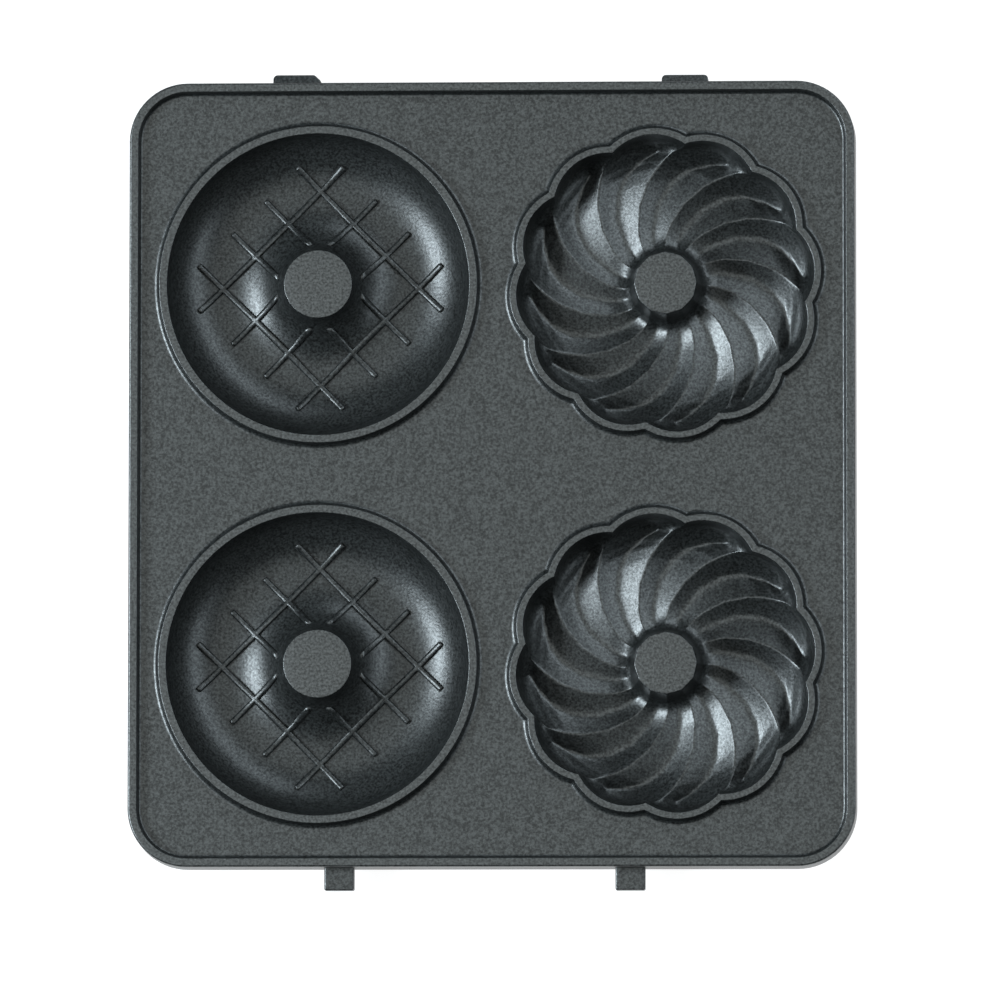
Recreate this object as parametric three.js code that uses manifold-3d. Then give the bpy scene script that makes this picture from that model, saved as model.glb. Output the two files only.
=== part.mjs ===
// A removable die-cast baking plate for a press-type doughnut maker.
// Two ring cavities with a raised lattice and two twelve-lobed swirl cavities, each with a centre post.
// Millimetres. +X right, +Y towards the hinge side, +Z up. The plate rests on four flat lands at z = 0,
// and the origin is at the middle of the plate's footprint, tabs included.
import * as THREE from 'three';
import { mergeVertices } from 'three/addons/utils/BufferGeometryUtils.js';
import Module from 'manifold-3d';

const wasm = await Module();
wasm.setup();

const { PI, cos, sin, sqrt, tan } = Math;
const DEG = PI / 180;

// ---- driving dimensions -------------------------------------------------------------------------

const plate = {
  width: 140.4, // over the rim, X
  length: 152, // over the rim, Y, without the tabs
  cornerRadius: 11.3,
  rimWidth: 1.7,
  rimWallDraft: 8 * DEG,
  fieldDepth: 2.2, // from the rim's top down to the field between the cavities
  webThickness: 2.5,
  skirtHeight: 8,
  skirtThickness: 2.3,
  skirtDraft: 1.5 * DEG,
};

const cavitySpacing = { x: 67.2, y: 73.6 };

const floorThickness = 2.4; // under the deepest line of a ring cavity

// Walls of the cups round the cavities, before the lands under them are faced flat.
const cups = { wall: 3, ringSquareness: 2.5, swirlSquareness: 4.5 };
const postRoof = 3.5; // over the hollow core inside a post

const ring = {
  mouthRadius: 29.25,
  postRadius: 6.6,
  depth: 10,
  lipWidth: 1.55,
  steps: { around: 36, section: 8 },
};

const lattice = {
  spacing: 8.95,
  halfLength: 19.85,
  ribWidth: 1,
  ribHeight: 0.6,
  clearRadius: 8.2, // the ribs stop at the foot of the post
};

const swirl = {
  lobes: 12,
  cuspRadius: 27.2, // mouth, at the cusps between lobes
  lobeRadius: 28.95, // mouth, at the middle of a lobe
  postRadius: 6.05, // at the post's corners
  wallLean: 0.4, // how far the outer wall leans in on its way down
  postSpread: 1, // how much wider the post is at its foot
  depth: 9.4, // of the crests, next to the post
  crestRise: 0.11, // how far the crests climb for each millimetre away from the post
  squareness: { wall: 6, post: 7 }, // of the trough's section
  cuspAngle: -8 * DEG,
  wallTwist: 3 * DEG, // how far a crest turns on its way down the wall
  floorTwist: 39.5 * DEG, // and then on its way over the floor to the post
  twistPower: 1.25, // above 1, more of the turn is close to the post
  fluteAtMouth: 1.75,
  fluteRise: 0.092, // depth of a flute on the floor, for each millimetre of radius
  fluteAtPost: 0.3,
  // Where across a flute its valley lies at a radius: 0 is at one crest and 1 at the next.
  valleys: [
    { radius: 5.9, place: 0.45 },
    { radius: 12, place: 0.52 },
    { radius: 17, place: 0.58 },
    { radius: 20, place: 0.57 },
    { radius: 22.9, place: 0.5 },
    { radius: 24.3, place: 0.36 },
    { radius: 25.5, place: 0.18 },
    { radius: 26.4, place: 0.3 },
    { radius: 27.2, place: 0.5 },
  ],
  lipWidth: 1.3,
  steps: { section: 11 },
};

const lipDraft = 8 * DEG;

const lipSunk = 0.5; // how far a lip reaches down into the web

const backTab = { thickness: 5, topDrop: 0.2, slope: 35 * DEG, cornerCut: 0.5 };
const backTabs = [
  { from: -42.4, to: -33.1, reach: 1.7, innerCut: 1.3 },
  { from: 32.9, to: 41.9, reach: 1.4, innerCut: 0.5 },
];

const tongue = { width: 5.75, reach: 4.4, thickness: 3.5, topDrop: 3.5 };
const tongueCentres = [-29.5, 26.7];

// Under a tab or a tongue the skirt is drawn from the lower die, so it leans inwards there.
const relief = { step: 0.1, draft: 2 * DEG, sideGap: 0.2 };

// ---- heights and places that follow -------------------------------------------------------------

const topZ = floorThickness + ring.depth; // rim, lips and post tops share one parting plane
const fieldZ = topZ - plate.fieldDepth;
const webZ = fieldZ - plate.webThickness;
const skirtZ = topZ - plate.skirtHeight;
const over = 1; // how far a cutting solid runs past the face that it opens
const weldDistance = 1e-5;

const backReach = Math.max(...backTabs.map((tab) => tab.reach));
const plateY = (tongue.reach - backReach) / 2; // puts the origin at the middle of the footprint

const cavityX = cavitySpacing.x / 2;
const cavityY = cavitySpacing.y / 2;

// ---- solids -------------------------------------------------------------------------------------

function solid(geometry) {
  geometry.deleteAttribute('normal');
  geometry.deleteAttribute('uv');
  const merged = mergeVertices(geometry, weldDistance);
  return new wasm.Manifold(new wasm.Mesh({
    numProp: 3,
    vertProperties: new Float32Array(merged.attributes.position.array),
    triVerts: new Uint32Array(merged.index.array),
  }));
}

function geometryOf(manifold) {
  const mesh = manifold.getMesh();
  const geometry = new THREE.BufferGeometry();
  geometry.setAttribute('position', new THREE.BufferAttribute(mesh.vertProperties, 3));
  geometry.setIndex(new THREE.BufferAttribute(mesh.triVerts, 1));
  geometry.computeVertexNormals();
  return geometry;
}

function joined(solids) {
  return solids.reduce((whole, next) => whole.add(next));
}

// Joins rings of points, each counter-clockwise from above, into a surface that faces away from the
// stack's axis while the rings climb.
function skin(rings, closed) {
  const count = rings[0].length;
  const positions = rings.flat().flatMap((point) => [point.x, point.y, point.z]);
  const index = [];
  const bands = closed ? rings.length : rings.length - 1;
  for (let band = 0; band < bands; band += 1) {
    const low = band * count;
    const high = ((band + 1) % rings.length) * count;
    for (let k = 0; k < count; k += 1) {
      const next = (k + 1) % count;
      index.push(low + k, low + next, high + next);
      index.push(low + k, high + next, high + k);
    }
  }
  return { positions, index, count };
}

function indexed({ positions, index }) {
  const geometry = new THREE.BufferGeometry();
  geometry.setAttribute('position', new THREE.Float32BufferAttribute(positions, 3));
  geometry.setIndex(index);
  return geometry;
}

// A stack of rings, lowest first, closed by a flat fan at each end.
function stack(rings) {
  const surface = skin(rings, false);
  const { positions, index, count } = surface;
  const ends = [rings[0], rings.at(-1)];
  ends.forEach((end, side) => {
    const middle = end.reduce((sum, point) => sum.add(point), new THREE.Vector3()).divideScalar(count);
    const hub = positions.length / 3;
    const first = side === 0 ? 0 : (rings.length - 1) * count;
    positions.push(middle.x, middle.y, middle.z);
    for (let k = 0; k < count; k += 1) {
      const next = (k + 1) % count;
      index.push(...(side === 0 ? [hub, first + next, first + k] : [hub, first + k, first + next]));
    }
  });
  return solid(indexed(surface));
}

// Rings that lead round a hollow ring's section and back to the first.
function hoop(rings) {
  return solid(indexed(skin(rings, true)));
}

function polar(radius, angle, z) {
  return new THREE.Vector3(radius * cos(angle), radius * sin(angle), z);
}

function circle(radius, z, steps) {
  return Array.from({ length: steps }, (_, k) => polar(radius, (2 * PI * k) / steps, z));
}

// The rim's outline, grown outwards by an offset.
function plateOutline(offset, z) {
  const cornerSteps = 6;
  const radius = plate.cornerRadius + offset;
  const cx = plate.width / 2 - plate.cornerRadius;
  const cy = plate.length / 2 - plate.cornerRadius;
  const corners = [[cx, cy], [-cx, cy], [-cx, -cy], [cx, -cy]];
  return corners.flatMap(([x, y], quarter) => Array.from({ length: cornerSteps + 1 }, (_, k) => {
    const angle = (quarter + k / cornerSteps) * (PI / 2);
    return polar(radius, angle, z).add(new THREE.Vector3(x, y, 0));
  }));
}

// ---- the shell: rim, skirt, web and field ---------------------------------------------------------

function shell() {
  const flare = plate.skirtHeight * tan(plate.skirtDraft);
  const body = stack([plateOutline(flare, skirtZ), plateOutline(0, topZ)]);

  const webFlare = (topZ - webZ) * tan(plate.skirtDraft);
  const hollow = stack([
    plateOutline(flare - plate.skirtThickness, skirtZ - over),
    plateOutline(webFlare - plate.skirtThickness, webZ),
  ]);

  const fieldInset = plate.rimWidth + plate.fieldDepth * tan(plate.rimWallDraft);
  const field = stack([
    plateOutline(-fieldInset, fieldZ),
    plateOutline(-plate.rimWidth, topZ),
    plateOutline(-plate.rimWidth, topZ + over),
  ]);
  return body.subtract(hollow).subtract(field);
}

// ---- ring cavities ----------------------------------------------------------------------------------

// How far out and how far down a trough's section is, as shares of its half width and its depth.
// Turn 0 is the outer edge and PI is the inner one. A squareness of 2 gives an ellipse.
function sectionPoint(turn, squareness) {
  const power = 2 / squareness;
  return {
    out: Math.sign(cos(turn)) * Math.abs(cos(turn)) ** power,
    down: Math.max(sin(turn), 0) ** power,
  };
}

function ringVoid(depth) {
  const { around, section } = ring.steps;
  const middle = (ring.mouthRadius + ring.postRadius) / 2;
  const half = (ring.mouthRadius - ring.postRadius) / 2;
  const rings = [circle(ring.mouthRadius, topZ + over, around), circle(ring.postRadius, topZ + over, around)];
  for (let k = section; k >= 0; k -= 1) {
    const { out, down } = sectionPoint((PI * k) / section, 2);
    rings.push(circle(middle + half * out, topZ - depth * down, around));
  }
  return hoop(rings);
}

// Eight bars on a square grid turned by 45 degrees, standing on the floor and stopping at the post.
function latticeRibs() {
  const bars = [];
  for (const direction of [PI / 4, -PI / 4]) {
    for (const place of [-1.5, -0.5, 0.5, 1.5]) {
      const bar = new THREE.BoxGeometry(2 * lattice.halfLength, lattice.ribWidth, topZ);
      bar.translate(0, place * lattice.spacing, topZ / 2);
      bar.rotateZ(direction);
      bars.push(solid(bar));
    }
  }
  const postFoot = stack([
    circle(lattice.clearRadius, -over, ring.steps.around),
    circle(lattice.clearRadius, topZ + over, ring.steps.around),
  ]);
  const above = ringVoid(ring.depth - lattice.ribHeight);
  return joined(bars).subtract(postFoot).subtract(above);
}

function ringLip() {
  const outer = ring.mouthRadius + ring.lipWidth;
  const spread = plate.fieldDepth * tan(lipDraft);
  return stack([
    circle(outer + spread, fieldZ - lipSunk, ring.steps.around),
    circle(outer + spread, fieldZ, ring.steps.around),
    circle(outer, topZ, ring.steps.around),
  ]);
}

// ---- swirl cavities ---------------------------------------------------------------------------------

// Radius of the lobed mouth, an angle away from the middle of a lobe, grown outwards by an offset.
// Each lobe is an arc through two cusps.
function lobedRadius(angle, offset) {
  const halfLobe = PI / swirl.lobes;
  const chordRadius = swirl.cuspRadius * cos(halfLobe);
  const halfChord = swirl.cuspRadius * sin(halfLobe);
  const sagitta = swirl.lobeRadius - chordRadius;
  const arc = (halfChord ** 2 + sagitta ** 2) / (2 * sagitta);
  const centre = swirl.lobeRadius - arc;
  return centre * cos(angle) + sqrt((arc + offset) ** 2 - (centre * sin(angle)) ** 2);
}

function smoothStep(share) {
  const part = Math.min(Math.max(share, 0), 1);
  return part * part * (3 - 2 * part);
}

// Where across a flute its valley lies.
function valleyPlace(radius) {
  const beyond = swirl.valleys.findIndex((valley) => radius <= valley.radius);
  const next = beyond < 0 ? swirl.valleys.length - 1 : Math.max(beyond, 1);
  const low = swirl.valleys[next - 1];
  const high = swirl.valleys[next];
  const share = (radius - low.radius) / (high.radius - low.radius);
  return low.place + (high.place - low.place) * smoothStep(share);
}

// Visits four points of each flute: a crest, the falling flank, the valley and the rising flank.
function roundSwirl(valley, visit) {
  const flute = [
    { place: 0, groove: 0 },
    { place: valley / 2, groove: 0.5 },
    { place: valley, groove: 1 },
    { place: (1 + valley) / 2, groove: 0.5 },
  ];
  const pitch = (2 * PI) / swirl.lobes;
  return Array.from({ length: swirl.lobes }, (_, lobe) => flute.map(
    ({ place, groove }) => visit(swirl.cuspAngle + (lobe + place) * pitch, place, groove),
  )).flat();
}

function lobedOutline(offset, z) {
  const pitch = (2 * PI) / swirl.lobes;
  return roundSwirl(0.5, (angle, place) => polar(lobedRadius((place - 0.5) * pitch, offset), angle, z));
}

// A ring round the cavity at one turn of its section. The flutes are cut at a right angle to the
// trough: as round lobes at the mouth, and as V grooves on the floor.
function swirlRing(turn) {
  const half = (swirl.cuspRadius - swirl.postRadius) / 2;
  const squareness = turn < PI / 2 ? swirl.squareness.wall : swirl.squareness.post;
  const { out, down } = sectionPoint(turn, squareness);
  const drafted = swirl.postSpread * Math.max(-out, 0) - swirl.wallLean * Math.max(out, 0);
  const radius = swirl.cuspRadius - half * (1 - out) + down * drafted;
  const crestDepth = swirl.depth - swirl.crestRise * Math.max(radius - swirl.postRadius, 0);
  const faceOut = (Math.sign(out) * Math.abs(out) ** (squareness - 1)) / half;
  const faceDown = down ** (squareness - 1) / crestDepth;
  const length = Math.hypot(faceOut, faceDown);

  const wayOut = Math.max(radius - swirl.postRadius, 0) / (swirl.cuspRadius - swirl.postRadius);
  const grooved = smoothStep(faceDown / length);
  const twist = swirl.wallTwist * grooved + swirl.floorTwist * (1 - wayOut ** swirl.twistPower);
  const end = turn < PI / 2 ? swirl.fluteAtMouth : swirl.fluteAtPost;
  const depth = end + (swirl.fluteRise * radius - end) * grooved;
  return roundSwirl(valleyPlace(radius), (angle, place, groove) => {
    const lobe = 1 - (2 * place - 1) ** 2;
    const cut = (depth * (lobe + (groove - lobe) * grooved)) / length;
    return polar(radius + cut * faceOut, angle + twist, topZ - crestDepth * down - cut * faceDown);
  });
}

function raised(points) {
  return points.map((point) => new THREE.Vector3(point.x, point.y, topZ + over));
}

function swirlVoid() {
  const { section } = swirl.steps;
  const rings = [raised(swirlRing(0)), raised(swirlRing(PI))];
  for (let k = section; k >= 0; k -= 1) {
    rings.push(swirlRing((PI * k) / section));
  }
  return hoop(rings);
}

function swirlLip() {
  const spread = plate.fieldDepth * tan(lipDraft);
  return stack([
    lobedOutline(swirl.lipWidth + spread, fieldZ - lipSunk),
    lobedOutline(swirl.lipWidth + spread, fieldZ),
    lobedOutline(swirl.lipWidth, topZ),
  ]);
}

// ---- the cups under the cavities ----------------------------------------------------------------------

// Outer and inner faces run round the trough at the casting's wall thickness, faced flat at z = 0.
function cup(squareness) {
  const steps = 4;
  const middle = (ring.mouthRadius + ring.postRadius) / 2;
  const half = (ring.mouthRadius - ring.postRadius) / 2 + cups.wall;
  const depth = ring.depth + cups.wall;
  const turnAt = (z) => Math.asin(((topZ - z) / depth) ** (squareness / 2));
  const joinZ = webZ + plate.webThickness / 2;
  const coreZ = topZ - postRoof;
  const arc = (side, fromZ, toZ) => Array.from({ length: steps + 1 }, (_, k) => {
    const turn = turnAt(fromZ) + ((turnAt(toZ) - turnAt(fromZ)) * k) / steps;
    const { out, down } = sectionPoint(turn, squareness);
    return new THREE.Vector2(middle + side * half * out, topZ - depth * down);
  });
  const core = arc(-1, 0, coreZ);
  const outside = arc(1, 0, joinZ);
  const body = new THREE.LatheGeometry(
    [new THREE.Vector2(0, 0), ...outside, new THREE.Vector2(0, joinZ)],
    ring.steps.around,
  );
  const hollow = new THREE.LatheGeometry(
    [new THREE.Vector2(0, -over), new THREE.Vector2(core[0].x, -over), ...core, new THREE.Vector2(0, coreZ)],
    ring.steps.around,
  );
  return { body: solid(body.rotateX(PI / 2)), hollow: solid(hollow.rotateX(PI / 2)) };
}

// ---- tabs on the back edge and tongues on the front edge ------------------------------------------------

// A block from an outline in X and Y, with its top face falling away at a slope from the edge line.
function block(outline, bottomZ, heightAt) {
  const low = outline.map(([x, y]) => new THREE.Vector3(x, y, bottomZ));
  const high = outline.map(([x, y]) => new THREE.Vector3(x, y, heightAt(y)));
  return stack([low, high]);
}

function backTabBlock({ from, to, reach, innerCut }) {
  const edge = plate.length / 2;
  const root = edge - plate.rimWidth;
  const tip = edge + reach;
  const cut = backTab.cornerCut;
  const [leftCut, rightCut] = from < 0 ? [cut, innerCut] : [innerCut, cut];
  const rootZ = topZ - backTab.topDrop;
  const topAt = (y) => rootZ - Math.max(y - edge, 0) * tan(backTab.slope);
  const outline = [
    [to, root],
    [to, tip - rightCut],
    [to - rightCut, tip],
    [from + leftCut, tip],
    [from, tip - leftCut],
    [from, root],
  ];
  return block(outline, topZ - backTab.thickness, topAt);
}

function tongueBlock(centre) {
  const edge = -plate.length / 2;
  const root = edge + plate.rimWidth;
  const tip = edge - tongue.reach;
  const left = centre - tongue.width / 2;
  const right = centre + tongue.width / 2;
  const highZ = topZ - tongue.topDrop;
  const outline = [[left, root], [left, tip], [right, tip], [right, root]];
  return block(outline, highZ - tongue.thickness, () => highZ);
}

// What is cut off the skirt under a tab or a tongue, on the back (side 1) or the front (side -1).
function reliefCut(side, from, to, underZ) {
  const lowZ = skirtZ - over;
  const faceY = plate.length / 2 + (topZ - underZ) * tan(plate.skirtDraft) - relief.step;
  const lowY = faceY - (underZ - lowZ) * tan(relief.draft);
  const left = from - relief.sideGap;
  const right = to + relief.sideGap;
  const ringAt = (y, z) => {
    const points = [[left, y], [right, y], [right, faceY + over], [left, faceY + over]];
    const wound = side > 0 ? points : points.reverse();
    return wound.map(([px, py]) => new THREE.Vector3(px, side * py, z));
  };
  return stack([ringAt(lowY, lowZ), ringAt(faceY, underZ)]);
}

function reliefCuts() {
  const tabUnder = topZ - backTab.thickness;
  const tongueUnder = topZ - tongue.topDrop - tongue.thickness;
  const half = tongue.width / 2;
  return joined([
    ...backTabs.map(({ from, to }) => reliefCut(1, from, to, tabUnder)),
    ...tongueCentres.map((centre) => reliefCut(-1, centre - half, centre + half, tongueUnder)),
  ]);
}

// ---- the casting ------------------------------------------------------------------------------------

function casting() {
  const kinds = [
    {
      x: -cavityX,
      lip: ringLip(),
      cavity: ringVoid(ring.depth).subtract(latticeRibs()),
      cup: cup(cups.ringSquareness),
    },
    { x: cavityX, lip: swirlLip(), cavity: swirlVoid(), cup: cup(cups.swirlSquareness) },
  ];
  let body = joined([
    shell().subtract(reliefCuts()),
    ...backTabs.map(backTabBlock),
    ...tongueCentres.map(tongueBlock),
  ]);
  for (const kind of kinds) {
    for (const y of [-cavityY, cavityY]) {
      const place = [kind.x, y, 0];
      body = body.add(kind.lip.translate(place)).add(kind.cup.body.translate(place));
      body = body.subtract(kind.cup.hollow.translate(place)).subtract(kind.cavity.translate(place));
    }
  }
  return body;
}

const coatedAluminium = new THREE.MeshStandardMaterial({ color: 0x3b3f3f, roughness: 0.5, metalness: 0.35 });

const bakingPlate = new THREE.Mesh(geometryOf(casting()), coatedAluminium);
bakingPlate.name = 'baking_plate';
bakingPlate.position.y = plateY;

const doughnutMakerPlate = new THREE.Group();
doughnutMakerPlate.add(bakingPlate);

export default doughnutMakerPlate;
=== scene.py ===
"""Looks of a die-cast doughnut baking plate: one coated casting with two lattice rings and two swirls."""

import math

import bmesh
import bpy
from mathutils import Matrix, Vector


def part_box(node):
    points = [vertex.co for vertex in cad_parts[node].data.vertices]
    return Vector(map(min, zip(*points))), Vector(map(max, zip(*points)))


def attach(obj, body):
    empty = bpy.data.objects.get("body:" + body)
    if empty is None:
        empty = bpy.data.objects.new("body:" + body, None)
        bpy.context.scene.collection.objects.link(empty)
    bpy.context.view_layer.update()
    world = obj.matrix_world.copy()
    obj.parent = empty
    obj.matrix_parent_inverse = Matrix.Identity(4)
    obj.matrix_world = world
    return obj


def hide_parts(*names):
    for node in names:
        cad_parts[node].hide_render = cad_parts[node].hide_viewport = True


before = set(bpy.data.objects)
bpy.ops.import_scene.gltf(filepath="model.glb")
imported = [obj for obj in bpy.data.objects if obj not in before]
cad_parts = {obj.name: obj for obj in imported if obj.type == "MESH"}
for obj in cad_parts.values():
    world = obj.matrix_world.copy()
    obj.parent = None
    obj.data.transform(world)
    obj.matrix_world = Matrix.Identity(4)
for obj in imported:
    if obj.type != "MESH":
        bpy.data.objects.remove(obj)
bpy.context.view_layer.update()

MM = 0.001
PI = math.pi

# ---- sizes in millimetres ------------------------------------------------------------------------
# They are the CAD design's, apart from the rounds and fillets, which it doesn't have, and the three
# whose comments say so.

_, cad_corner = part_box("baking_plate")
TOP = (cad_corner / MM).z  # rim, lips and post tops share one parting plane

PLATE_WIDTH = 140.4
PLATE_LENGTH = 152.0
PLATE_Y = 1.35  # the rim's middle, in front of or behind the middle of the footprint
CORNER_RADIUS = 11.3
RIM_WIDTH = 1.7
RIM_WALL_DRAFT = math.radians(8)
FIELD_DEPTH = 2.2
WEB_THICKNESS = 2.5
SKIRT_HEIGHT = 8.0
SKIRT_THICKNESS = 2.3
SKIRT_DRAFT = math.radians(1.5)

CAVITY_X = 33.6
CAVITY_Y = 36.8

RING_MOUTH = 29.25
RING_POST = 6.6
RING_DEPTH = 10.0
RING_LIP = 1.55

CUP_WALL = 3.0
RING_CUP_SQUARENESS = 2.5
SWIRL_CUP_SQUARENESS = 4.5
POST_ROOF = 3.5  # over the hollow core inside a post

LATTICE_SPACING = 8.95
LATTICE_HALF = 19.85
RIB_WIDTH = 1.15  # 0.15 more than in the CAD design
RIB_HEIGHT = 0.75  # 0.15 more than in the CAD design
RIB_INNER = 8.1  # where the ribs run into the post
RIB_LEVEL = 8.9  # inside this radius a rib's top stays level
RIB_STEP = 0.5  # between two stations along a rib
RIB_END = 0.45  # length over which a free end swells to the full section
RIB_END_HEIGHT = 0.35  # share of the full height at a free end
RIB_END_WIDTH = 0.7  # share of the full width at a free end
# Across a rib: (share of the width, share of the height). Its sides run down into the floor.
RIB_SECTION = [
    (-0.5, -0.7), (-0.5, 0.45), (-0.42, 0.76), (-0.26, 0.94), (0, 1),
    (0.26, 0.94), (0.42, 0.76), (0.5, 0.45), (0.5, -0.7),
]

LOBES = 12
SWIRL_CUSP = 27.2
SWIRL_LOBE = 28.95
SWIRL_POST = 6.05
SWIRL_DEPTH = 9.4  # of the crests, next to the post
CREST_RISE = 0.11  # how far the crests climb for each millimetre away from the post
SWIRL_WALL_SQUARENESS = 6  # of the trough's section, on its outer side
SWIRL_POST_SQUARENESS = 7  # and next to the post
SWIRL_WALL_LEAN = 0.4  # how far the outer wall leans in on its way down
SWIRL_POST_SPREAD = 1.0  # how much wider the post is at its foot
SWIRL_WALL_TWIST = math.radians(3)
SWIRL_FLOOR_TWIST = math.radians(39.5)
SWIRL_TWIST_POWER = 1.25
SWIRL_START = math.radians(-8)
FLUTE_MOUTH = 1.75
FLUTE_RISE = 0.092  # flute depth on the floor for each millimetre of radius
FLUTE_POST = 0.15  # half of the CAD design's
# (radius, place of the valley across a flute, from 0 at one crest to 1 at the next)
VALLEYS = [
    (5.9, 0.45), (12, 0.52), (17, 0.58), (20, 0.57), (22.9, 0.5),
    (24.3, 0.36), (25.5, 0.18), (26.4, 0.3), (27.2, 0.5),
]
VALLEY_ROUNDING = 0.16
CREST_SOFTENING = 0.06
SWIRL_LIP = 1.3

LIP_DRAFT = math.radians(8)
LIP_FILLET = 1.0
RIM_FILLET = 0.6
RIM_ROUND = 0.45  # on the rim's outer edge
SKIRT_ROUND = 0.4
WEB_FILLET = 1.0  # between the skirt and the web, underneath
CORE_ROUND = 0.25
LAND_ROUND = 0.3
CUP_FILLET = 0.8  # between a cup and the web
BLOCK_ROUND = 0.35  # on the tabs and the tongues
EDGE_ROUND = 0.18
# A quarter round in three steps: (share of the way out, share of the way down).
EDGE_STEPS = [(1, 0), (0.4, 0.12), (0.1, 0.45)]

BACK_TAB_DROP = 0.2  # from the parting plane to the tab's top
BACK_TAB_THICKNESS = 5.0
BACK_TAB_SLOPE = math.radians(35)
# (name, left side, right side, reach past the rim, corner cuts on the left and on the right)
BACK_TABS = [
    ("left_tab", -42.4, -33.1, 1.7, (0.5, 1.3)),
    ("right_tab", 32.9, 41.9, 1.4, (0.5, 0.5)),
]

TONGUE_WIDTH = 5.75
TONGUE_REACH = 4.4
TONGUE_DROP = 3.5
TONGUE_THICKNESS = 3.5
TONGUES = [("left_tongue", -29.5), ("right_tongue", 26.7)]

FIELD = TOP - FIELD_DEPTH
WEB = FIELD - WEB_THICKNESS
SKIRT = TOP - SKIRT_HEIGHT


# ---- profiles: lists of (offset outwards, height) -------------------------------------------------

RUN = 3.0  # how far past a profile's end the next point lies, which only gives a direction


def corner(at, before, after, radius, steps=5):
    """Points of an arc that rounds the corner `at` between the points before and after it."""
    here, back, on = Vector(at), Vector(before), Vector(after)
    to_back, to_on = (back - here).normalized(), (on - here).normalized()
    half = to_back.angle(to_on) / 2
    centre = here + (to_back + to_on).normalized() * (radius / math.sin(half))
    start = here + to_back * (radius / math.tan(half)) - centre
    end = here + to_on * (radius / math.tan(half)) - centre
    total = start.angle_signed(end)
    points = []
    for k in range(steps + 1):
        turned = Matrix.Rotation(-total * k / steps, 2) @ start
        points.append(tuple(centre + turned))
    return points


def rounded(points, radii):
    """A profile through the points, with a rounded corner wherever a radius is given."""
    profile = [points[0]]
    for before, at, after, radius in zip(points, points[1:], points[2:], radii):
        profile += corner(at, before, after, radius) if radius else [at]
    return profile + [points[-1]]


# ---- a skin of rings -----------------------------------------------------------------------------

class Skin:
    """Vertices and faces in millimetres. A band faces away from the axis where its rings climb."""

    def __init__(self):
        self.points = []
        self.faces = []

    def ring(self, points):
        first = len(self.points)
        self.points += [tuple(point) for point in points]
        return list(range(first, first + len(points)))

    def band(self, before, after):
        count = len(before)
        for k in range(count):
            n = (k + 1) % count
            self.faces.append((before[k], before[n], after[n], after[k]))

    def sweep(self, rings):
        loops = [self.ring(points) for points in rings]
        for before, after in zip(loops, loops[1:]):
            self.band(before, after)
        return loops[0], loops[-1]

    def cap(self, loop, centre, first):
        """Closes a loop with a fan: a first ring's fan faces the other way from a last ring's."""
        hub = len(self.points)
        self.points.append(tuple(centre))
        for k in range(len(loop)):
            n = (k + 1) % len(loop)
            self.faces.append((hub, loop[n], loop[k]) if first else (hub, loop[k], loop[n]))


def polar(centre, radius, angle, z):
    return (centre[0] + radius * math.cos(angle), centre[1] + radius * math.sin(angle), z)


def circle(centre, radius, z, steps):
    return [polar(centre, radius, 2 * PI * k / steps, z) for k in range(steps)]


def plate_outline(offset, z):
    corner_steps = 16
    points = []
    for quarter, (sx, sy) in enumerate([(1, 1), (-1, 1), (-1, -1), (1, -1)]):
        centre = (
            sx * (PLATE_WIDTH / 2 - CORNER_RADIUS),
            PLATE_Y + sy * (PLATE_LENGTH / 2 - CORNER_RADIUS),
        )
        for k in range(corner_steps + 1):
            angle = (quarter + k / corner_steps) * PI / 2
            points.append(polar(centre, CORNER_RADIUS + offset, angle, z))
    return points


# ---- rim and skirt -------------------------------------------------------------------------------

def shell(skin):
    """From the underside of the web down round the skirt, over the rim and into the field."""
    flare = SKIRT_HEIGHT * math.tan(SKIRT_DRAFT)
    web_flare = (TOP - WEB) * math.tan(SKIRT_DRAFT)
    field_inset = RIM_WIDTH + FIELD_DEPTH * math.tan(RIM_WALL_DRAFT)
    profile = rounded(
        [
            (web_flare - SKIRT_THICKNESS - RUN, WEB),
            (web_flare - SKIRT_THICKNESS, WEB),
            (flare - SKIRT_THICKNESS, SKIRT),
            (flare, SKIRT),
            (0, TOP),
            (-RIM_WIDTH, TOP),
            (-field_inset, FIELD),
            (-field_inset - RUN, FIELD),
        ],
        [WEB_FILLET, SKIRT_ROUND, SKIRT_ROUND, RIM_ROUND, EDGE_ROUND, RIM_FILLET],
    )
    return skin.sweep([plate_outline(offset, z) for offset, z in profile[1:-1]])


# ---- the ring cavities ---------------------------------------------------------------------------

def section_point(turn, squareness):
    """How far out and how far down a trough's section is, as shares of its half width and its depth.

    Turn 0 is the outer edge and PI is the inner one. A squareness of 2 gives an ellipse.
    """
    power = 2 / squareness
    return (
        math.copysign(abs(math.cos(turn)) ** power, math.cos(turn)),
        max(math.sin(turn), 0) ** power,
    )


def trough(turn):
    """A ring cavity's radius and height at a turn of its section."""
    out, down = section_point(turn, 2)
    return (RING_MOUTH + RING_POST) / 2 + (RING_MOUTH - RING_POST) / 2 * out, TOP - RING_DEPTH * down


def ring_floor(radius):
    half = (RING_MOUTH - RING_POST) / 2
    away = (radius - (RING_MOUTH + RING_POST) / 2) / half
    return TOP - RING_DEPTH * math.sqrt(max(1 - away * away, 0))


def turns(steps, start):
    """Evenly spaced turns from just inside the mouth to just before the post."""
    return [start + (PI - 2 * start) * k / steps for k in range(steps + 1)]


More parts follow.
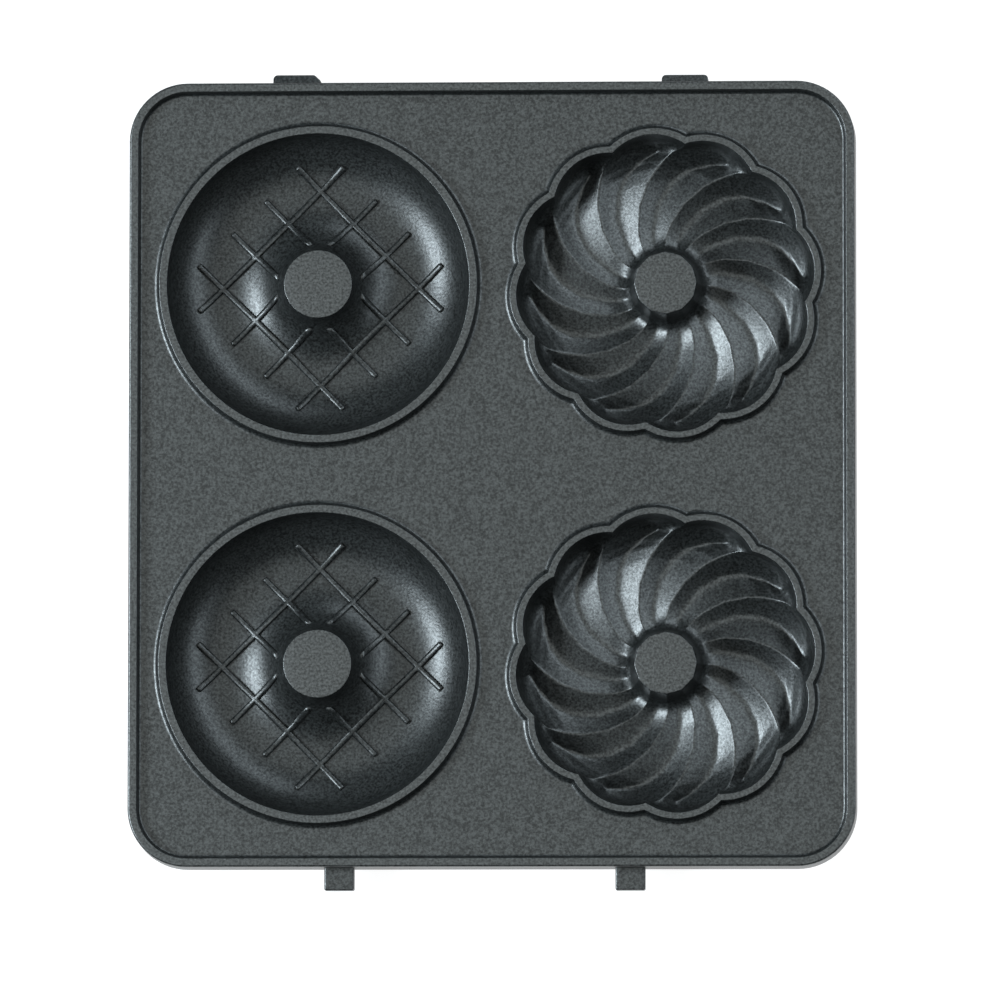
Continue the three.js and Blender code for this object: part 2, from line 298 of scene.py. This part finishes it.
def ring_cavity(skin, centre):
    around = 192
    section_steps = 44
    first_turn = 0.10
    lip = RING_MOUTH + RING_LIP
    foot = lip + FIELD_DEPTH * math.tan(LIP_DRAFT)
    bowl = [trough(turn) for turn in turns(section_steps, first_turn)]
    outside = rounded(
        [(foot + RUN, FIELD), (foot, FIELD), (lip, TOP), (RING_MOUTH, TOP), bowl[0]],
        [LIP_FILLET, EDGE_ROUND, EDGE_ROUND],
    )
    post = rounded([bowl[-1], (RING_POST, TOP), (RING_POST - RUN, TOP)], [EDGE_ROUND])
    profile = outside[1:-1] + bowl + post[1:]
    outer, inner = skin.sweep([circle(centre, radius, z, around) for radius, z in profile])
    skin.cap(inner, (*centre, TOP), first=False)
    return outer


# ---- the swirl cavities --------------------------------------------------------------------------

FLUTE_STATIONS = [0, 0.03, 0.07, 0.13, 0.22, 0.34, 0.48, 0.62, 0.74, 0.84, 0.92, 1]  # crest to valley
PITCH = 2 * PI / LOBES


def valley_place(radius):
    """Where across a flute its valley lies, from 0 at one crest to 1 at the next."""
    for (r0, p0), (r1, p1) in zip(VALLEYS, VALLEYS[1:]):
        if radius <= r1:
            part = max(radius - r0, 0) / (r1 - r0)
            smooth_part = part * part * (3 - 2 * part)
            return p0 + (p1 - p0) * smooth_part
    return VALLEYS[-1][1]


def round_swirl(valley):
    """(angle, place across the flute, share of the way up from the valley) all the way round."""
    shares = FLUTE_STATIONS
    across = [(valley * share, 1 - share) for share in shares[:-1]]
    across += [(valley + (1 - valley) * (1 - share), 1 - share) for share in reversed(shares[1:])]
    return [
        (SWIRL_START + (lobe + place) * PITCH, place, rise)
        for lobe in range(LOBES)
        for place, rise in across
    ]


def swirl_stations():
    """(angle, share of a half lobe from its middle) all the way round."""
    return [(angle, 2 * place - 1) for angle, place, _ in round_swirl(0.5)]


def lobed_radius(share, offset):
    half_lobe = PITCH / 2
    chord = SWIRL_CUSP * math.cos(half_lobe)
    half_chord = SWIRL_CUSP * math.sin(half_lobe)
    sagitta = SWIRL_LOBE - chord
    arc = (half_chord ** 2 + sagitta ** 2) / (2 * sagitta)
    middle = SWIRL_LOBE - arc
    angle = share * half_lobe
    return middle * math.cos(angle) + math.sqrt((arc + offset) ** 2 - (middle * math.sin(angle)) ** 2)


def groove(rise):
    """How far a V groove with a round bottom has risen, 0 in the valley and 1 at a crest."""
    full = math.sqrt(1 + VALLEY_ROUNDING ** 2) - VALLEY_ROUNDING
    return (math.sqrt(rise ** 2 + VALLEY_ROUNDING ** 2) - VALLEY_ROUNDING) / full


def softened(rise):
    """The groove's rise with the last of it levelled off into a round crest."""
    start = 1 - CREST_SOFTENING
    if rise <= start:
        return groove(rise)
    slope = (groove(1) - groove(start)) / CREST_SOFTENING
    past = rise - start
    return groove(start) + slope * (past - past ** 2 / (2 * CREST_SOFTENING))


def swirl_ring(centre, turn):
    half = (SWIRL_CUSP - SWIRL_POST) / 2
    squareness = SWIRL_WALL_SQUARENESS if turn < PI / 2 else SWIRL_POST_SQUARENESS
    out, down = section_point(turn, squareness)
    radius = SWIRL_CUSP - half * (1 - out)
    radius += down * (SWIRL_POST_SPREAD * max(-out, 0) - SWIRL_WALL_LEAN * max(out, 0))
    crest_depth = SWIRL_DEPTH - CREST_RISE * max(radius - SWIRL_POST, 0)
    face_out = math.copysign(abs(out) ** (squareness - 1) / half, out)
    face_down = down ** (squareness - 1) / crest_depth
    length = math.hypot(face_out, face_down)
    face_out, face_down = face_out / length, face_down / length

    way_out = min(max((radius - SWIRL_POST) / (SWIRL_CUSP - SWIRL_POST), 0), 1)
    blend = face_down * face_down * (3 - 2 * face_down)
    twist = SWIRL_WALL_TWIST * blend + SWIRL_FLOOR_TWIST * (1 - way_out ** SWIRL_TWIST_POWER)
    end = FLUTE_MOUTH if turn < PI / 2 else FLUTE_POST
    deepest = end + (FLUTE_RISE * radius - end) * blend
    points = []
    for angle, place, rise in round_swirl(valley_place(radius)):
        arc_shape = 1 - (2 * place - 1) ** 2
        groove_shape = 1 - softened(rise)
        cut = deepest * (arc_shape + (groove_shape - arc_shape) * blend)
        height = TOP - crest_depth * down - cut * face_down
        points.append(polar(centre, radius + cut * face_out, angle + twist, height))
    return points


def swirl_edge(centre, turn, offset, z):
    """The outline at a turn, moved outwards by an offset and set at a height."""
    points = []
    middle = Vector((*centre, 0))
    for point in swirl_ring(centre, turn):
        away = Vector((point[0], point[1], 0)) - middle
        away *= (away.length + offset) / away.length
        points.append((centre[0] + away.x, centre[1] + away.y, z))
    return points


def swirl_cavity(skin, centre):
    section_steps = 60
    first_turn = 0.01
    foot = SWIRL_LIP + FIELD_DEPTH * math.tan(LIP_DRAFT)
    lip_profile = rounded(
        [(foot + RUN, FIELD), (foot, FIELD), (SWIRL_LIP, TOP), (0, TOP)],
        [LIP_FILLET, EDGE_ROUND],
    )[1:-1]
    rings = [
        [polar(centre, lobed_radius(share, offset), angle, z) for angle, share in swirl_stations()]
        for offset, z in lip_profile
    ]
    for out, down in EDGE_STEPS:
        rings.append(swirl_edge(centre, 0, EDGE_ROUND * out, TOP - EDGE_ROUND * down))
    rings += [swirl_ring(centre, turn) for turn in turns(section_steps, first_turn)]
    for out, down in reversed(EDGE_STEPS):
        rings.append(swirl_edge(centre, PI, -EDGE_ROUND * out, TOP - EDGE_ROUND * down))
    outer, inner = skin.sweep(rings)
    skin.cap(inner, (*centre, TOP), first=False)
    return outer


# ---- the cups under the cavities -----------------------------------------------------------------

def cup(skin, centre, squareness):
    """From the core under the post, over the flat land and up the outside to the web."""
    around = 96
    steps = 10
    middle = (RING_MOUTH + RING_POST) / 2
    half = (RING_MOUTH - RING_POST) / 2 + CUP_WALL
    depth = RING_DEPTH + CUP_WALL
    core_top = TOP - POST_ROOF

    def turn_at(height):
        return math.asin(((TOP - height) / depth) ** (squareness / 2))

    def arc(side, low, high):
        points = []
        for k in range(steps + 1):
            turn = turn_at(low) + (turn_at(high) - turn_at(low)) * k / steps
            out, down = section_point(turn, squareness)
            points.append((middle + side * half * out, TOP - depth * down))
        return points

    core = arc(-1, 0, core_top)[::-1]
    outside = arc(1, 0, WEB)
    top = rounded([(0, core_top), core[0], core[1]], [CORE_ROUND])[1:-1]
    lands = rounded([core[-2], core[-1], outside[0], outside[1]], [LAND_ROUND, LAND_ROUND])[1:-1]
    foot = rounded([outside[-2], outside[-1], (outside[-1][0] + RUN, WEB)], [CUP_FILLET])[1:-1]
    profile = top + core[1:-1] + lands + outside[1:-1] + foot
    inner, outer = skin.sweep([circle(centre, radius, z, around) for radius, z in profile])
    skin.cap(inner, (*centre, core_top), first=True)
    return outer


# ---- ribs and tabs, joined to the casting ----------------------------------------------------------

def bar(skin, line, direction, place, start, end):
    """A rib along one lattice line, sunk a little into the floor and rounded at its free ends.

    The end is free, and so is the start when it lies on the other side of the line's middle.
    """
    along = Vector((math.cos(direction), math.sin(direction)))
    across = Vector((along.y, -along.x))
    count = max(2, round(abs(end - start) / RIB_STEP))
    stations = [start + (end - start) * k / count for k in range(count + 1)]
    free_ends = [end] if start * end > 0 else [start, end]
    for tip in free_ends:
        stations += [tip - math.copysign(RIB_END * share, tip) for share in (0.6, 0.25)]
    stations.sort()
    loops = []
    for s in stations:
        to_end = min([RIB_END] + [abs(tip - s) for tip in free_ends]) / RIB_END
        swell = math.sqrt(max(1 - (1 - to_end) ** 2, 0))
        height = RIB_HEIGHT * (RIB_END_HEIGHT + (1 - RIB_END_HEIGHT) * swell)
        width = RIB_WIDTH * (RIB_END_WIDTH + (1 - RIB_END_WIDTH) * swell)
        ring = []
        for share, level in RIB_SECTION:
            spot = along * s + across * (place + share * width)
            base = ring_floor(max(spot.length, RIB_LEVEL))
            lift = level * height if level > 0 else level * RIB_HEIGHT
            ring.append((line[0] + spot.x, line[1] + spot.y, base + lift))
        loops.append(ring)
    first, last = skin.sweep(loops)
    skin.faces.append(tuple(reversed(first)))
    skin.faces.append(tuple(last))


def lattice(skin, centre, direction):
    """The four lines of one direction. The inner two stop on both sides of the post."""
    for share in (-1.5, 1.5):
        place = share * LATTICE_SPACING
        bar(skin, centre, direction, place, -LATTICE_HALF, LATTICE_HALF)
    for share in (-0.5, 0.5):
        place = share * LATTICE_SPACING
        inner = math.sqrt(RIB_INNER ** 2 - place ** 2)
        bar(skin, centre, direction, place, inner, LATTICE_HALF)
        bar(skin, centre, direction, place, -inner, -LATTICE_HALF)


def block(name, outline, low, high_at):
    """A block over an outline, with small rounds on the edges away from the casting."""
    skin = Skin()
    bottom = skin.ring([(x, y, low) for x, y in outline])
    top = skin.ring([(x, y, high_at(y)) for x, y in outline])
    skin.band(bottom, top)
    skin.faces.append(tuple(reversed(bottom)))
    skin.faces.append(tuple(top))
    piece = make_object(name, skin)
    rounding = piece.modifiers.new("rounding", "BEVEL")
    rounding.width = BLOCK_ROUND * MM
    rounding.segments = 3
    return baked(piece)


def back_tab(name, start, end, reach, cuts):
    edge = PLATE_Y + PLATE_LENGTH / 2
    root = edge - RIM_WIDTH
    tip = edge + reach
    outline = [
        (end, root), (end, tip - cuts[1]), (end - cuts[1], tip),
        (start + cuts[0], tip), (start, tip - cuts[0]), (start, root),
    ]

    def top_at(y):
        return TOP - BACK_TAB_DROP - max(y - edge, 0) * math.tan(BACK_TAB_SLOPE)

    return block(name, outline, TOP - BACK_TAB_THICKNESS, top_at)


def tongue(name, centre):
    edge = PLATE_Y - PLATE_LENGTH / 2
    root, tip = edge + RIM_WIDTH, edge - TONGUE_REACH
    left, right = centre - TONGUE_WIDTH / 2, centre + TONGUE_WIDTH / 2
    outline = [(left, root), (left, tip), (right, tip), (right, root)]
    high = TOP - TONGUE_DROP
    return block(name, outline, high - TONGUE_THICKNESS, lambda y: high)


# ---- meshes --------------------------------------------------------------------------------------

def make_object(name, skin):
    mesh = bpy.data.meshes.new(name)
    mesh.from_pydata([Vector(point) * MM for point in skin.points], [], skin.faces)
    piece = bpy.data.objects.new(name, mesh)
    bpy.context.scene.collection.objects.link(piece)
    return piece


def baked(piece):
    """The piece with its modifiers applied."""
    depsgraph = bpy.context.evaluated_depsgraph_get()
    mesh = bpy.data.meshes.new_from_object(piece.evaluated_get(depsgraph))
    piece.modifiers.clear()
    piece.data = mesh
    return piece


def join_on(piece, other):
    """Unites the other piece with this one and removes it."""
    union = piece.modifiers.new("union", "BOOLEAN")
    union.operation = "UNION"
    union.solver = "MANIFOLD"
    union.object = other
    baked(piece)
    bpy.data.objects.remove(other)


def fill_flat(bm, loops, up):
    """Fills the flat region between an outer loop and the loops inside it."""
    bm.verts.ensure_lookup_table()
    edges = []
    for loop in loops:
        for a, b in zip(loop, loop[1:] + loop[:1]):
            edges.append(bm.edges.get((bm.verts[a], bm.verts[b])))
    made = bmesh.ops.triangle_fill(bm, use_beauty=True, edges=edges)
    for face in made["geom"]:
        if isinstance(face, bmesh.types.BMFace) and (face.normal.z > 0) != up:
            face.normal_flip()


def casting():
    skin = Skin()
    under_loop, field_loop = shell(skin)
    field_loops, under_loops = [field_loop], [under_loop]
    kinds = ((-1, ring_cavity, RING_CUP_SQUARENESS), (1, swirl_cavity, SWIRL_CUP_SQUARENESS))
    for side, cavity, squareness in kinds:
        for end in (-1, 1):
            centre = (side * CAVITY_X, PLATE_Y + end * CAVITY_Y)
            field_loops.append(cavity(skin, centre))
            under_loops.append(cup(skin, centre, squareness))
    piece = make_object("coated_plate", skin)
    bm = bmesh.new()
    bm.from_mesh(piece.data)
    bm.normal_update()
    fill_flat(bm, field_loops, up=True)
    fill_flat(bm, under_loops, up=False)
    bm.to_mesh(piece.data)
    bm.free()
    return piece


def add_ribs(piece):
    for name, direction in (("rising_ribs", PI / 4), ("falling_ribs", -PI / 4)):
        skin = Skin()
        for end in (-1, 1):
            lattice(skin, (-CAVITY_X, PLATE_Y + end * CAVITY_Y), direction)
        join_on(piece, make_object(name, skin))


def add_tabs(piece):
    for tab in BACK_TABS:
        join_on(piece, back_tab(*tab))
    for strip in TONGUES:
        join_on(piece, tongue(*strip))


def smooth(piece):
    """Smooth shading with creases kept at real corners, and flat faces shaded flat."""
    crease = math.radians(38)
    weld = 1e-7
    bm = bmesh.new()
    bm.from_mesh(piece.data)
    bmesh.ops.remove_doubles(bm, verts=bm.verts, dist=weld)
    for face in bm.faces:
        face.smooth = True
    for edge in bm.edges:
        edge.smooth = edge.calc_face_angle(0) < crease
    bm.to_mesh(piece.data)
    bm.free()
    weighted = piece.modifiers.new("weighted_normals", "WEIGHTED_NORMAL")
    weighted.weight = 50
    weighted.keep_sharp = True


# ---- materials -----------------------------------------------------------------------------------

def node(tree, kind, **values):
    made = tree.nodes.new(kind)
    for name, value in values.items():
        setattr(made, name, value)
    return made


def mapped(tree, value, source, target, kind="LINEAR"):
    """A value taken from one range into another, and held at the ends."""
    made = node(tree, "ShaderNodeMapRange", interpolation_type=kind)
    made.inputs["From Min"].default_value, made.inputs["From Max"].default_value = source
    made.inputs["To Min"].default_value, made.inputs["To Max"].default_value = target
    tree.links.new(value, made.inputs["Value"])
    return made.outputs["Result"]


def product(tree, first, second):
    made = node(tree, "ShaderNodeMath", operation="MULTIPLY")
    tree.links.new(first, made.inputs[0])
    tree.links.new(second, made.inputs[1])
    return made.outputs["Value"]


def sheen(tree, speckle, place):
    """Grainy, brighter on the parting faces, and darker towards the ring cavities' floors, where shade is
    painted into the recesses.
    """
    grain_shine = (0.40, 0.84)
    parting_shine = 1.2
    ring_floor_painted_shade = 0.72
    split = node(tree, "ShaderNodeSeparateXYZ")
    tree.links.new(place, split.inputs["Vector"])

    parting_range = ((TOP - 0.35) * MM, (TOP - 0.05) * MM)
    near_top = mapped(tree, split.outputs["Z"], parting_range, (1.0, parting_shine), "SMOOTHSTEP")

    # Painted shade: the sheen drops to 0.72 towards the ring cavities' floors, standing in for the shade
    # in those recesses.
    floor_range = ((TOP - RING_DEPTH) * MM, (TOP - 0.7 * RING_DEPTH) * MM)
    deep = mapped(tree, split.outputs["Z"], floor_range, (ring_floor_painted_shade, 1.0), "SMOOTHSTEP")
    swirl_side = node(tree, "ShaderNodeMath", operation="GREATER_THAN")
    tree.links.new(split.outputs["X"], swirl_side.inputs[0])
    swirl_side.inputs[1].default_value = 0.0
    painted_shade = node(tree, "ShaderNodeMath", operation="MAXIMUM")
    tree.links.new(deep, painted_shade.inputs[0])
    tree.links.new(swirl_side.outputs["Value"], painted_shade.inputs[1])

    grainy = mapped(tree, speckle, (0.3, 0.7), grain_shine)
    return product(tree, product(tree, grainy, near_top), painted_shade.outputs["Value"])


def coating():
    """Dark non-stick coating: a fine light speckle, grainy skin, more sheen on the parting faces, and
    painted shade towards the ring cavities' floors.
    """
    dark, light = (0.0020, 0.0022, 0.0022, 1), (0.0150, 0.0165, 0.0165, 1)
    dark_until, light_from = 0.36, 0.66
    grain_strength, grain_height = 0.55, 0.05 * MM

    material = bpy.data.materials.new("nonstick_coating")
    material.use_nodes = True
    tree = material.node_tree
    shader = tree.nodes["Principled BSDF"]
    links = tree.links
    place = node(tree, "ShaderNodeTexCoord").outputs["Object"]

    noise = node(tree, "ShaderNodeTexNoise")
    noise.inputs["Scale"].default_value = 2100
    noise.inputs["Detail"].default_value = 1.5
    noise.inputs["Roughness"].default_value = 0.62
    links.new(place, noise.inputs["Vector"])
    speckle = noise.outputs["Fac"]

    colour = node(tree, "ShaderNodeValToRGB")
    stops = colour.color_ramp.elements
    stops[0].position, stops[0].color = dark_until, dark
    stops[1].position, stops[1].color = light_from, light
    links.new(speckle, colour.inputs["Fac"])
    links.new(colour.outputs["Color"], shader.inputs["Base Color"])

    links.new(sheen(tree, speckle, place), shader.inputs["Specular IOR Level"])
    shader.inputs["Roughness"].default_value = 0.38
    shader.inputs["Metallic"].default_value = 0.0

    grain = node(tree, "ShaderNodeBump")
    grain.inputs["Strength"].default_value = grain_strength
    grain.inputs["Distance"].default_value = grain_height
    links.new(speckle, grain.inputs["Height"])
    links.new(grain.outputs["Normal"], shader.inputs["Normal"])
    return material


def glowing_floor():
    """Pale enough to stay white under weak lights."""
    material = bpy.data.materials.new("floor")
    material.use_nodes = True
    shader = material.node_tree.nodes["Principled BSDF"]
    shader.inputs["Base Color"].default_value = (0.2, 0.2, 0.2, 1)
    shader.inputs["Roughness"].default_value = 0.8
    shader.inputs["Emission Color"].default_value = (1, 1, 1, 1)
    shader.inputs["Emission Strength"].default_value = 0.92
    return material


# ---- stage ---------------------------------------------------------------------------------------

def floor():
    half = 3.0
    corners = [(-half, -half, 0), (half, -half, 0), (half, half, 0), (-half, half, 0)]
    mesh = bpy.data.meshes.new("floor")
    mesh.from_pydata(corners, [], [(0, 1, 2, 3)])
    ground = bpy.data.objects.new("floor", mesh)
    ground.data.materials.append(glowing_floor())
    bpy.context.scene.collection.objects.link(ground)


def softbox(name, colour, direction, elevation, distance, size, watts):
    """An area light aimed at the plate. It stands at a direction from +X and an elevation, in degrees."""
    lamp = bpy.data.lights.new(name, "AREA")
    lamp.shape = "RECTANGLE"
    lamp.size, lamp.size_y = size
    lamp.color = colour
    lamp.energy = watts
    holder = bpy.data.objects.new(name, lamp)
    turn, rise = math.radians(direction), math.radians(elevation)
    level = math.cos(rise)
    away = Vector((math.cos(turn) * level, math.sin(turn) * level, math.sin(rise)))
    holder.location = away * distance
    holder.rotation_euler = away.to_track_quat("Z", "Y").to_euler()
    bpy.context.scene.collection.objects.link(holder)


def studio():
    world = bpy.data.worlds.new("studio")
    bpy.context.scene.world = world
    world.use_nodes = True
    background = world.node_tree.nodes["Background"]
    background.inputs["Color"].default_value = (1, 1, 1, 1)
    background.inputs["Strength"].default_value = 0.004
    white, cool = (0.92, 1.0, 0.99), (0.80, 0.93, 1.0)
    softbox("overhead", white, 90, 90, distance=1.9, size=(2.2, 2.2), watts=21.5)
    softbox("left_softbox", cool, 184, 40, distance=1.1, size=(0.46, 0.38), watts=21)
    softbox("wide_fill", cool, 32, 41, distance=1.3, size=(2.8, 0.45), watts=19)
    bpy.context.scene.view_settings.view_transform = "Standard"


def camera():
    """Looks down on the plate from a little in front and to the right."""
    distance = 2.2
    lean_front = math.radians(4.9)
    lean_right = math.radians(2.6)
    roll = math.radians(-0.18)
    frame_width = 0.193  # at the parting plane
    target = Vector((0, PLATE_Y, TOP)) * MM
    away = Vector((math.tan(lean_right), -math.tan(lean_front), 1)).normalized()
    side = Vector((1, 0, 0)) - away * away.x
    side = Matrix.Rotation(roll, 3, away) @ side.normalized()
    lens = bpy.data.cameras.new("camera")
    lens.sensor_width = 36
    lens.lens = lens.sensor_width * distance / frame_width
    lens.shift_x = 0.0087
    lens.shift_y = -0.027
    eye = bpy.data.objects.new("camera", lens)
    eye.location = target + away * distance
    eye.rotation_euler = Matrix((side, away.cross(side), away)).transposed().to_euler()
    bpy.context.scene.collection.objects.link(eye)
    bpy.context.scene.camera = eye


# ---- the scene -----------------------------------------------------------------------------------

camera()
studio()
floor()

plate = casting()
add_ribs(plate)
add_tabs(plate)
smooth(plate)
plate.data.materials.clear()
plate.data.materials.append(coating())
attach(plate, "root")
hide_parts("baking_plate")
